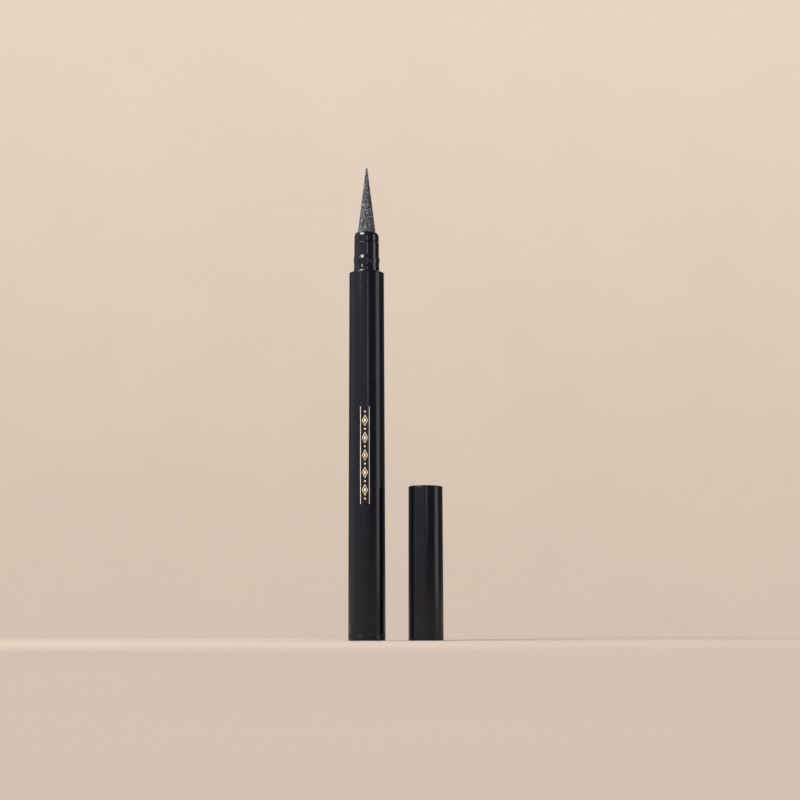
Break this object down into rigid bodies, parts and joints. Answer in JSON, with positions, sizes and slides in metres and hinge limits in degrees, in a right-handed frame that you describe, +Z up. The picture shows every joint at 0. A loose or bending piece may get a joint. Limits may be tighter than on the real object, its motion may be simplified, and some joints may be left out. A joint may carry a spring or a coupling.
{
  "type": "liquid eyeliner pen",
  "caption": "Slim tapered eyeliner pen with a long pointed felt nib, a finned ink feed inside, and a push-fit cap with a sprung inner seal.",
  "frame": {"origin": "centre of the tail plug's face, on which the pen stands", "axes": "+Z up the pen's axis to the nib, +X towards the cap, -Y towards the viewer"},
  "size_m": [0.0254, 0.01, 0.1277],
  "materials": {
    "barrel_plastic": "satin",
    "neck_plastic": "gloss",
    "foil": "satin",
    "felt": "matte",
    "wick_fibre": "matte",
    "tank_plastic": "satin",
    "feed_plastic": "matte",
    "cap_lining": "matte",
    "inner_cap_plastic": "matte",
    "seal_rubber": "matte",
    "steel": "polished"
  },
  "bodies": {
    "pen": {"barrel": "barrel_plastic", "tail_plug": "barrel_plastic", "tail_plug_seal": "seal_rubber", "ink_tank": "tank_plastic", "collector": "feed_plastic", "collector_seal": "seal_rubber", "feed_wick": "wick_fibre", "front_collar": "neck_plastic", "collar_seal": "seal_rubber", "tip_holder": "neck_plastic", "nib": "felt"},
    "mixing_ball": {"mixing_ball": "steel"},
    "cap": {"cap_shell": "barrel_plastic", "cap_sleeve": "cap_lining", "inner_cap_spring": "steel"},
    "inner_cap": {"inner_cap": "inner_cap_plastic", "inner_cap_seal": "seal_rubber"}
  },
  "joints": [
    {"name": "cap_lift", "type": "slide", "parent": "pen", "child": "cap", "axis": [0, 0, 1], "range_m": [0, 0.13]},
    {"name": "ball_rattle", "type": "slide", "parent": "pen", "child": "mixing_ball", "axis": [0, 0, 1], "range_m": [0, 0.0411]},
    {"name": "inner_cap_press", "type": "slide", "parent": "cap", "child": "inner_cap", "axis": [0, 0, 1], "range_m": [0, 0.0025], "stiffness_N_per_m": 250, "springref_m": -0.003, "deforming": ["inner_cap_spring"]}
  ]
}
